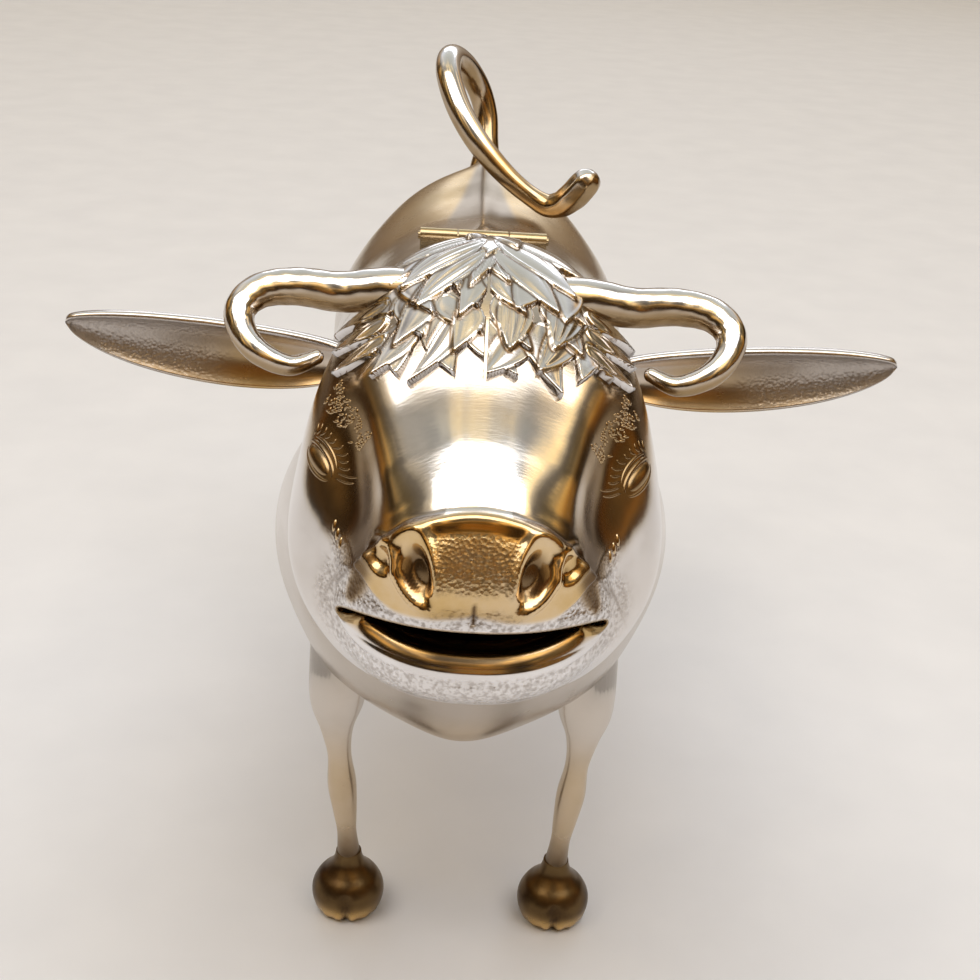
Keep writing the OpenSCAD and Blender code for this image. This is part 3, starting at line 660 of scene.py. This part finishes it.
def egg(centre, radii, ways, rings=0.0, rows=28, sides=32, pole=0.03):
    """Points and faces of an egg round a centre. ways are its three directions, rings is the depth of
    the grooves round its length, and pole is the half angle of its flat ends."""
    v = np.linspace(pole, math.pi - pole, rows)[:, None]
    u = circle(sides)[None, :]
    thick = 1 - rings * (1 + np.cos(9 * v)) / 2
    parts = (np.cos(v) + 0 * u, thick * np.sin(v) * np.cos(u), thick * np.sin(v) * np.sin(u))
    points = np.asarray(centre, float) + sum(p[..., None] * r * unit(np.asarray(w, float))
                                             for p, r, w in zip(parts, radii, ways))
    return points.reshape(-1, 3), capped_faces(rows, sides)


def leaf(root, tip, up, width, thick, veins):
    """Points and faces of a thin rounded blade with raised veins on top."""
    root, tip, up = (np.asarray(a, float) for a in (root, tip, up))
    across = unit(np.cross(up, tip - root))
    rows, columns = 40, 25
    s, t = np.linspace(0, 1, rows)[:, None], np.linspace(-1, 1, columns)[None, :]
    half = 0.18 + 0.82 * np.sin(np.pi * np.clip(s, 0, 0.985) ** 1.5) ** 0.7
    half = width * half * np.sqrt(np.clip(1 - s**12, 0.02, 1))
    ridge = 0.10 * bell((1 - np.abs(t)) / 0.10) + 0 * s
    for k in range(veins):
        line = (2 * (k + 0.5) / veins - 1) * 0.8
        ridge = ridge + 0.09 * bell((t - line) / 0.07) * (1 - s)
    base = root + (tip - root) * s[..., None] + across * (half * t)[..., None]
    top, low = base + up * (thick / 2 + ridge)[..., None], base - up * (thick / 2)
    return np.vstack([top.reshape(-1, 3), low.reshape(-1, 3)]), sheet_faces(rows, columns)


def shaded_underside(normals):
    """Marks for a bar: painted shade and painted gold reflection wherever it faces down."""
    down = steps((0.45 - normals[:, 2]) / 0.7)
    return {"warm": 0.95 * down, "dark": 0.62 * down}


def mirrored(points, faces):
    return points * (-1, 1, 1), [tuple(f)[::-1] for f in faces]


def both_sides(name, points, faces, material, nodes, masks, normals=None):
    """The same piece on the cow's left and mirrored on its right."""
    mesh(name + "_left", points, faces, "root", material, (nodes + "_left",), masks, normals)
    points, faces = mirrored(points, faces)
    normals = None if normals is None else normals * (-1, 1, 1)
    mesh(name + "_right", points, faces, "root", material, (nodes + "_right",), masks, normals)


# --- Work laid on the skin ---
def laid(points):
    """The nearest points of the skin, with the skin's normals there."""
    places, normals = [], []
    for point in points:
        place, normal, _, _ = skin.find_nearest(Vector(point))
        places.append(place)
        normals.append(normal)
    return np.array(places), np.array(normals)


STROKE_SIDES = 10


class Parts:
    """Several small closed shapes gathered into one piece."""

    def __init__(self):
        self.points, self.faces, self.dark, self.count = [], [], [], 0

    def add(self, points, faces, dark=0.0):
        """Adds one closed shape, with its faces turned to look outwards."""
        fans = np.array([(f[0], f[k], f[k + 1]) for f in faces for k in range(1, len(f) - 1)])
        a, b, c = (points[fans[:, k]] - points.mean(axis=0) for k in range(3))
        if (a * np.cross(b, c)).sum() < 0:
            faces = [f[::-1] for f in faces]
        self.points.append(points)
        self.faces += [tuple(int(v) + self.count for v in face) for face in faces]
        self.dark.append(np.full(len(points), dark))
        self.count += len(points)

    def piece(self, name, body, nodes=(), mirror=False, warm=0.0):
        """Makes the gathered shapes one silver piece."""
        points, faces = np.vstack(self.points), self.faces
        if mirror:
            points, faces = mirrored(points, faces)
        masks = {"dark": np.concatenate(self.dark), "warm": np.full(len(points), warm)}
        mesh(name, points, faces, body, SILVER, nodes, masks)

    def stroke(self, route, wide, high, samples, dark, sink=0.1):
        """A tapering raised line along the skin."""
        path, normals = laid(smooth(route, np.linspace(0, len(route) - 1, samples)))
        heading = unit(np.gradient(path, axis=0))
        normals = unit(normals)
        across = unit(np.cross(normals, heading))
        s = np.linspace(0, 1, samples)
        taper = np.clip(np.sin(np.pi * np.clip(s, 0.02, 0.98)), 0, 1) ** 0.5
        angle = circle(STROKE_SIDES)
        rings = (path[:, None] - normals[:, None] * sink
                 + across[:, None] * (wide * taper)[:, None, None] * np.cos(angle)[None, :, None]
                 + normals[:, None] * (high * taper)[:, None, None] * np.sin(angle)[None, :, None])
        self.add(rings.reshape(-1, 3), capped_faces(samples, STROKE_SIDES), dark)


# --- Hair ---
HAIR_TOP = np.array((0, -41.0, 90.0))
DOWN_FACE = unit(np.array((0, -0.89, -0.45)))
OFF_FACE = unit(np.array((0, -0.45, 0.89)))
HAIR_STEP, HAIR_SEED, HAIR_ROWS = 0.12, 23, 5
HAIR_WIDE, HAIR_BACK, HAIR_FRONT = 12.6, -6.8, 19.0
HAIR_SUNK, HAIR_UNDER = -0.30, 0.6
FRINGE, FRINGE_RISE, FRINGE_HALF = 17.6, 3.4, 10.5


def lock(sheet, x, q, turn, length, width, bend, lines=0):
    """One leaf-shaped lock, laid over those before it. x and q are its root across and down the face,
    turn is its direction from straight down, bend curls its tip to one side, and lines is how many
    strands are engraved on it."""
    px, pq, height, dark = sheet
    s = ((px - x) * math.sin(turn) + (pq - q) * math.cos(turn)) / length
    inner = np.clip(s, 0, 1)
    over = (px - x) * math.cos(turn) - (pq - q) * math.sin(turn) - bend * length * inner**2.2
    half = width * np.sin(np.pi * inner**0.75) ** 0.75
    gap = np.minimum(half - np.abs(over), np.minimum(s, 1 - s) * length)
    gap = gap / np.maximum(np.hypot(*np.gradient(gap, HAIR_STEP)), 1)
    inside = steps((gap + 0.06) / 0.12)
    across = over / np.maximum(half, 0.2)
    strands = np.cos(2 * np.pi * lines * (across + 0.3 * s)) * (lines > 0) * steps(gap / 0.4)
    crown = 0.20 * (1 - np.clip(across, -1, 1) ** 2)
    top = 0.06 + 0.38 * inner**1.2 + crown + 0.10 * bell((gap - 0.18) / 0.14) + 0.045 * strands
    painted_edge_shadow = bell((gap + 0.13) / 0.14) * steps((s + 0.05) / 0.3)
    # Painted shadow along each lock's edge and painted shade in the grooves between its strands.
    dark[:] = np.maximum(dark, painted_edge_shadow) * (1 - inside) + inside * 0.30 * np.clip(-strands, 0, 1)
    dark[:] = np.maximum(dark, painted_edge_shadow * 0.9)
    height[:] = height * (1 - inside) + top * inside


def make_hair():
    """Curls chased on the crown as one relief: rows of broad locks that overlap upwards to the top,
    with a ragged fringe below and long strokes at the sides."""
    draw = np.random.default_rng(HAIR_SEED)
    px, pq = np.meshgrid(np.arange(-HAIR_WIDE, HAIR_WIDE + 0.01, HAIR_STEP),
                         np.arange(HAIR_BACK, HAIR_FRONT + 0.01, HAIR_STEP), indexing="ij")
    height, dark = np.full(px.shape, HAIR_SUNK), np.zeros(px.shape)
    sheet = (px, pq, height, dark)
    for row in range(HAIR_ROWS):
        share = 1 - row / HAIR_ROWS
        count = 5 + round(5 * share)
        for k in range(count):
            x = 10.6 * share**0.5 * (2 * (k + 0.5 + 0.25 * (-1) ** row) / count - 1) + draw.uniform(-0.4, 0.4)
            tip = (FRINGE - FRINGE_RISE * (x / FRINGE_HALF) ** 2) * share**0.9 + draw.uniform(-0.8, 0.6)
            turn = math.atan2(0.55 * x, tip + 3.0) + draw.uniform(-0.30, 0.30)
            length = draw.uniform(4.8, 6.4)
            bend = (-1) ** (k + row) * draw.uniform(0.28, 0.5)
            lock(sheet, x - length * math.sin(turn), tip - length * math.cos(turn), turn, length,
                 draw.uniform(1.2, 1.75), bend, int(draw.choice([0, 0, 0, 1, 2])))
    for side in (-1, 1):
        for k in range(3):
            lock(sheet, 8.0 * side, 11.6 - 1.8 * k, side * (1.0 + 0.15 * k), 4.4, 1.0, 0.25 * side)
        for k in range(4):
            lock(sheet, 0.5 * side, 3.6 - 1.7 * k, side * (0.80 + 0.19 * k), 8.2 + 0.4 * k, 1.35,
                 -0.12 * side, 2 if side < 0 else 0)
    lock(sheet, 0.6, -3.2, 0.10, 6.4, 1.5, 0.16)
    lock(sheet, -0.5, -3.6, -0.12, 5.2, 1.2, -0.14)
    place, way = np.zeros((*px.shape, 3)), np.zeros((*px.shape, 3))
    starts = HAIR_TOP + px[..., None] * np.array((1, 0, 0)) + pq[..., None] * DOWN_FACE + OFF_FACE * 20
    for index in np.ndindex(px.shape):
        place[index], way[index] = skin.ray_cast(Vector(starts[index]), Vector(-OFF_FACE))[:2]
    top, under = place + way * height[..., None], place - way * HAIR_UNDER
    # The sheet's underside and edge are painted dark as shade.
    mesh("forelock", np.vstack([top.reshape(-1, 3), under.reshape(-1, 3)]), sheet_faces(*px.shape),
         "root", SILVER, (), {"dark": np.concatenate([dark.reshape(-1), np.full(px.size, 0.8)])})


# --- Eyes ---
EYE_LONG, EYE_TALL, EYE_SEED = 2.1, 0.85, 5
LASHES, TEMPLE_MARKS, CHEEK_MARKS = 11, 100, 3


def make_eyes():
    """Lidded eyes with short lashes, punched texture on the temples and marks on the cheeks."""
    (centre,), (normal,) = laid([(EYE_BACK + EYE_FRONT) / 2])
    along = unit(EYE_FRONT - EYE_BACK - np.dot(EYE_FRONT - EYE_BACK, normal) * normal)
    over = np.cross(normal, along)
    if over[2] < 0:
        over = -over

    def at(a, b):
        return centre + along * a + over * b

    def arc(wide, high, angles):
        return [at(-EYE_LONG * wide * math.cos(a), EYE_TALL * high * math.sin(a)) for a in angles]

    parts = Parts()
    parts.add(*egg(centre - normal * 0.25, (EYE_LONG * 0.92, EYE_TALL, 0.42), (along, over, normal),
                   rows=24, pole=0.05), dark=0.58)
    angle = np.linspace(0, math.pi, 9)
    parts.stroke(arc(1.12, 1.12, angle), 0.26, 0.24, 30, 0.65)
    parts.stroke(arc(1.12, -1.05, angle), 0.22, 0.20, 30, 0.65)
    parts.stroke(arc(1.25, 1.75, angle[1:-1]), 0.20, 0.17, 24, 0.62)
    draw = np.random.default_rng(EYE_SEED)
    for a in np.linspace(0.45, math.pi - 0.25, LASHES):
        start = (-EYE_LONG * 1.3 * math.cos(a), EYE_TALL * 2.0 * math.sin(a))
        length = draw.uniform(0.9, 1.5)
        end = (start[0] - length * (0.9 * math.cos(a) - 0.5), start[1] + length * 0.8)
        bend = ((start[0] + end[0]) / 2 + 0.2, (start[1] + end[1]) / 2)
        parts.stroke([at(*start), at(*bend), at(*end)], 0.13, 0.11, 8, 0.7, sink=0.03)
    for _ in range(TEMPLE_MARKS):
        a, b = draw.uniform(-4.4, 3.4), draw.uniform(3.0, 5.4)
        turn = draw.uniform(0.6, 1.9)
        end = (a + 0.65 * math.cos(turn), b + 0.65 * math.sin(turn))
        parts.stroke([at(a, b), at(*end)], 0.14, 0.13, 6, 0.42, sink=0.03)
    for k in range(CHEEK_MARKS):
        a, b = 5.4 + 0.75 * k, -1.6 - 0.25 * k
        parts.stroke([at(a, b), at(a + 0.6, b - 1.0)], 0.22, 0.22, 8, 0.2)
    # The eye pieces share the painted dark brown and gold reflection of the hollow planes they lie on.
    parts.piece("eye_left", "root", warm=0.9)
    parts.piece("eye_right", "root", mirror=True, warm=0.9)


# --- Horns ---
HORN = [(4.6, -45.6, 86.2), (8.6, -45.0, 86.1), (12.5, -44.5, 85.5), (16.1, -45.0, 85.9),
        (18.9, -46.0, 85.8), (20.5, -47.5, 84.8), (20.4, -49.0, 83.4), (18.8, -50.5, 81.9),
        (16.2, -50.5, 80.8), (14.1, -49.2, 81.2)]
HORN_R, HORN_TIP_R = 2.0, 0.65


def make_horns():
    last = len(HORN) - 1
    radius = [HORN_TIP_R + (HORN_R - HORN_TIP_R) * (1 - k / last) ** 0.8 for k in range(last + 1)]

    def hammered(s, angle):
        return 1 + 0.016 * np.sin(5 * angle + 40 * s) * math.sin(70 * s)

    points, faces, normals = tube(HORN, radius, 32, 10, hammered)
    both_sides("horn_bar", points, faces, SILVER, "horn", shaded_underside(normals))


# --- Ears ---
EAR_ROOT, EAR_TIP = np.array((12.4, -35.4, 76.2)), np.array((38.0, -38.4, 79.3))
EAR_UP, EAR_BACK = unit(np.array((0.05, -0.38, 0.92))), unit(np.array((0.05, 0.92, 0.38)))
EAR_HALF, EAR_SCOOP, EAR_THICK = 3.7, 2.2, 0.7


def make_ears():
    rows, columns = 90, 41
    s = np.linspace(0, 1, rows)[:, None]
    t = np.linspace(-1, 1, columns)[None, :]
    wide = EAR_HALF * (0.02 + 0.14 * (1 - s**8) + 0.84 * np.sin(np.pi * s ** 0.9) ** 0.5)
    wide = wide * np.where(s > 0.985, np.sqrt(np.clip((1 - s) / 0.015, 0, 1)) * 0.6 + 0.4, 1)

    def sheet(depth):
        return (EAR_ROOT + (EAR_TIP - EAR_ROOT) * s[..., None] + EAR_UP * (wide * t - 0.45 * wide)[..., None]
                + EAR_BACK * (EAR_SCOOP * (wide / EAR_HALF) * (1 - t * t) + depth)[..., None]).reshape(-1, 3)

    rim = 0.22 * bell((1 - np.abs(t)) / 0.09) * (1 - 0.8 * s**10)
    points = np.vstack([sheet(-rim), sheet(EAR_THICK + rim)])
    faces = [f[::-1] for f in sheet_faces(rows, columns)]
    inside = np.repeat((1.0, 0.0), rows * columns)
    s, t = (np.tile((a * np.ones((rows, columns))).reshape(-1), 2) for a in (s, t))
    middle = steps((1 - np.abs(t)) / 0.2)
    # The front of each ear is painted darker along its middle band and gold near the root: painted reflection
    # and shade.
    dark = inside * (0.22 * steps((s - 0.2) / 0.3) * middle
                     + 0.40 * bell((t + 0.1) / 0.3) * steps((0.85 - s) / 0.3))
    masks = {"dark": np.clip(dark, 0, 0.8),
             "matte": 0.5 * inside * steps((s - 0.4) / 0.2) * middle,
             "warm": inside * bell((s - 0.34) / 0.26) * steps((0.4 - t) / 0.5),
             "satin_and_shade": 0.5 * inside * steps((s - 0.15) / 0.3)}
    both_sides("ear_leaf", points, faces, GREY, "ear", masks)


# --- Legs and hooves ---
FORELEG = [(13.4, -26.0, 40.0), (13.9, -26.6, 33.0), (13.9, -26.6, 29.0), (13.6, -26.2, 25.0),
           (13.3, -25.6, 20.5), (13.0, -24.6, 16.0), (12.8, -23.5, 12.0), (12.6, -22.5, 7.8)]
FORELEG_R = [3.6, 3.1, 1.9, 1.35, 1.65, 1.4, 1.15, 1.4]
HINDLEG = [(12.6, 49.0, 42.0), (14.0, 50.0, 36.0), (14.3, 51.0, 29.5), (14.0, 52.8, 24.0),
           (13.6, 53.6, 20.0), (13.2, 52.6, 15.5), (12.9, 51.4, 11.5), (12.6, 50.8, 7.8)]
HINDLEG_R = [5.6, 4.6, 2.7, 1.7, 1.8, 1.4, 1.2, 1.4]


def make_legs():
    """The legs are drawn out of the body, so their surface turns smoothly into the skin's."""
    for name, route, radius in (("foreleg", FORELEG, FORELEG_R), ("hindleg", HINDLEG, HINDLEG_R)):
        points, faces, normals = tube(route, radius, 40, 10, rounded=False)
        places, skin_ways = laid(points)
        gap = np.linalg.norm(points - places, axis=1)
        facing = np.clip((normals * skin_ways).sum(1), 0, 1)
        share = (facing * bell(gap / 2.2) * steps((points[:, 2] - 26) / 4))[:, None]
        blended = unit(normals * (1 - share) + skin_ways * share)
        masks = {"dark": 0.85 * steps((15.5 - points[:, 2]) / 8), "satin_and_shade": np.ones(len(points)),
                 "warm": 0.5 * steps((32 - points[:, 2]) / 10)}
        both_sides(name + "_limb", points, faces, SILVER, name, masks, blended)


HOOF = [(3.0, 0.0), (3.4, 0.12), (4.0, 0.9), (4.35, 2.3), (4.25, 3.6), (3.6, 4.9), (2.7, 5.8), (2.0, 6.7),
        (1.65, 7.6), (1.5, 8.4)]


def make_hooves():
    """Ball-like cloven hooves. Each point of HOOF is a radius and a height."""
    rows, sides = 64, 72
    curve = smooth([(r, z, 0) for r, z in HOOF], np.linspace(0, len(HOOF) - 1, rows))
    r, z = curve[:, 0, None], np.maximum(curve[:, 1, None], 0)
    angle = circle(sides)[None, :]
    cleft = bell((angle - 1.5 * math.pi) / 0.11) * steps((4.6 - z) / 1.2)
    ahead = steps(-np.sin(angle) - 0.1)
    toes = 0.10 * np.cos(14 * angle) * ahead * bell((z - 0.8) / 0.8)
    grown = r - 0.5 * cleft + toes
    solid = np.stack([grown * np.cos(angle), grown * np.sin(angle) * 0.98, z * np.ones_like(grown)], -1)
    # The hooves are dark brown overall, with painted shade down the cleft and a painted golden glint low on
    # the front of the toes.
    roughness_and_toe_glint = ahead * bell((z - 1.1) / 1.0)
    dark = np.clip(0.9 - 0.85 * roughness_and_toe_glint + 0.6 * cleft, 0, 0.95).reshape(-1)
    faces = capped_faces(rows, sides)
    for name, route in (("forehoof", FORELEG), ("hindhoof", HINDLEG)):
        points = solid.reshape(-1, 3) + (*route[-1][:2], 0)
        both_sides(name + "_cast", points, faces, DARK, name, {"dark": dark})


# --- Tail ---
TAIL = [(0, 61.0, 67.0), (0, 62.6, 72.0), (0.1, 65.4, 76.0), (-0.3, 67.7, 80.0), (-1.7, 68.2, 84.0),
        (-4.0, 66.0, 87.6), (-6.0, 61.2, 89.4), (-6.2, 56.4, 87.8), (-4.6, 52.6, 84.0), (-2.0, 50.0, 80.2),
        (0.8, 48.7, 77.2), (3.8, 47.6, 74.6), (6.8, 46.8, 72.6), (9.2, 46.0, 71.6), (11.2, 45.2, 72.2),
        (12.9, 44.4, 73.8), (14.3, 43.8, 75.6)]
TAIL_R = [3.6, 2.6, 1.8, 1.8, 1.85, 1.9, 1.9, 1.85, 1.8, 1.75, 1.65, 1.5, 1.45, 1.7, 2.0, 2.2, 2.2]


def make_tail():
    def strands(s, angle):
        return 1 - 0.09 * steps((s - 0.8) / 0.1) * np.abs(np.cos(3.5 * angle + 9 * s))

    points, faces, normals = tube(TAIL, TAIL_R, 36, 10, strands)
    marks = shaded_underside(normals)
    x, y, z = points.T
    # The lying and rising lengths of the tail are painted gold and darker, as reflections of the warm room.
    lying = steps((x + 4) / 3) * steps((81 - z) / 3) * steps((12.5 - x) / 2) * steps((54 - y) / 2)
    rising = steps((y - 60) / 3) * steps((86 - z) / 3)
    marks["warm"] = np.maximum(marks["warm"], 0.85 * np.maximum(lying, rising))
    marks["dark"] = np.maximum(marks["dark"], 0.30 * rising + 0.10 * lying)
    mesh("tail_loop", points, faces, "root", SILVER, ("tail_handle",), marks)


# --- Lid, fly and udder ---
LID_LAP, LID_TOP, LID_UNDER, LID_LINE = 1.2, 0.95, 0.15, 0.84


def make_lid():
    """The lid plate, curved like the back, with a beaded edge and an engraved line inside it."""
    rings, sides = 48, 160
    rho = np.linspace(0, 1, rings)[1:, None]
    angle = circle(sides)[None, :]
    x = (HOLE_B + LID_LAP) * rho * np.cos(angle)
    y = HOLE_Y + (HOLE_A + LID_LAP) * rho * np.sin(angle)

    def on_barrel(height):
        return np.stack([x, y, BARREL_Z + np.sqrt((BARREL_R + height) ** 2 - x * x)], -1).reshape(-1, 3)

    bead = 0.18 * bell((rho - 0.93) / 0.035) * (1 + 0.5 * np.cos(44 * angle))
    line = -0.12 * bell((rho - LID_LINE) / 0.012)
    middles = [(0, HOLE_Y, BARREL_Z + BARREL_R + height) for height in (LID_TOP, LID_UNDER)]
    points = np.vstack([on_barrel(LID_TOP + bead + line), on_barrel(LID_UNDER), middles])
    n = (rings - 1) * sides
    faces = grid_faces(rings - 1, sides, wrap=True, flip=True)
    faces += grid_faces(rings - 1, sides, wrap=True, base=n)
    faces += [(2 * n, k, (k + 1) % sides) for k in range(sides)]
    faces += [(2 * n + 1, n + (k + 1) % sides, n + k) for k in range(sides)]
    rim = n - sides + np.arange(sides)
    faces += band(rim + n, rim)
    dark = 0.8 * bell((rho - LID_LINE) / 0.02) * np.ones_like(angle)
    mesh("lid_plate", points, faces, "lid", SILVER, ("lid",),
         {"dark": np.concatenate([dark.reshape(-1), np.zeros(n + 2)])})


FLY_Y, FLY_RISE = -1.0, 2.2


def make_fly():
    """The fly that the thumb lifts: head, thorax, ringed abdomen, two veined wings and six legs."""
    lid_z = BARREL_Z + BARREL_R + LID_TOP
    z = lid_z + FLY_RISE
    ways = ((0, 1, 0), (1, 0, 0), (0, 0, 1))
    body = Parts()
    shapes = [((0, FLY_Y - 2.7, z - 0.2), (1.05, 1.25, 1.0), 0), ((0, FLY_Y - 0.4, z), (1.7, 1.5, 1.45), 0),
              ((0, FLY_Y + 2.9, z - 0.4), (2.5, 1.35, 1.15), 0.09)]
    shapes += [((x, FLY_Y - 3.2, z), (0.5, 0.5, 0.55), 0) for x in (-0.75, 0.75)]
    for centre, radii, rings in shapes:
        body.add(*egg(centre, radii, ways, rings), dark=0.15)
    for turn in (-1, 1):
        x = 3.4 * turn
        foot = BARREL_Z + math.sqrt((BARREL_R + LID_TOP - 0.05) ** 2 - x**2)
        for hip_y, foot_y in ((-1.4, -3.0), (-0.3, -0.2), (0.8, 2.6)):
            route = [(0.8 * turn, FLY_Y + hip_y, z - 0.5),
                     (2.2 * turn, FLY_Y + (hip_y + foot_y) / 2, z + 0.1), (x, FLY_Y + foot_y, foot)]
            body.add(*tube(route, [0.28, 0.25, 0.25], 12, 8)[:2], dark=0.2)
    post = [(0, FLY_Y, lid_z - 0.2), (0, FLY_Y, lid_z + 0.8), (0, FLY_Y, z - 0.4)]
    body.add(*tube(post, [1.3, 1.0, 1.1], 32, 8, rounded=False)[:2], dark=0.2)
    body.piece("fly", "lid", ("fly_body",))
    wings = Parts()
    for turn in (-1, 1):
        root = (0.7 * turn, FLY_Y - 0.2, z + 1.35)
        tip = (3.4 * turn, FLY_Y + 5.2, z + 1.0)
        wings.add(*leaf(root, tip, (0.12 * turn, 0.06, 0.99), 1.75, 0.3, 5), dark=0.05)
    wings.piece("wing_pair", "lid", ("fly_wings",))


BAG_CENTRE, BAG_R = (0, 31, 29), 8
TEAT_X, TEAT_Y = (-3, 3), (28, 34)


def make_udder():
    """The bag with its four teats, soldered under the belly. The bag's top follows the belly."""
    bag = Parts()
    points, faces = egg(BAG_CENTRE, (BAG_R,) * 3, ((0, 0, 1), (1, 0, 0), (0, 1, 0)), 0, 64, 96)
    x = points[:, 0]
    high = points[:, 2] >= BARREL_Z - np.sqrt(np.maximum(20.2**2 - x**2, 0)) + 0.4
    points[high, 2] = BARREL_Z - np.sqrt(20.4**2 - np.clip(np.abs(x[high]), 0, 19) ** 2)
    points[:, 2] += 0.5 * bell(x / 0.9) * (points[:, 2] < 26)
    bag.add(points, faces)
    bag.piece("bag", "root", ("udder",))
    tips = Parts()
    for x in TEAT_X:
        for y in TEAT_Y:
            route = [(x, y, 22.5), (x, y, 21.0), (x, y, 19.4), (x * 1.02, y, 18.0)]
            tips.add(*tube(route, [1.35, 1.0, 0.85, 0.75], 24, 8)[:2], dark=0.1)
    tips.piece("teat_set", "root", ("teats",))


skin = make_shell()
make_hair()
make_eyes()
make_horns()
make_ears()
make_legs()
make_hooves()
make_tail()
make_lid()
make_fly()
make_udder()

# --- CAD nodes that stay get their metal ---
GILT_NODES = ("filler_collar", "lid_rim")
SHARP_EDGE = math.radians(35)
for name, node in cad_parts.items():
    if not node.hide_render:
        node.data.materials.clear()
        node.data.materials.append(GILT if name in GILT_NODES else SHADED_SILVER)
        node.data.polygons.foreach_set("use_smooth", np.ones(len(node.data.polygons), bool))
        node.data.set_sharp_from_angle(angle=SHARP_EDGE)
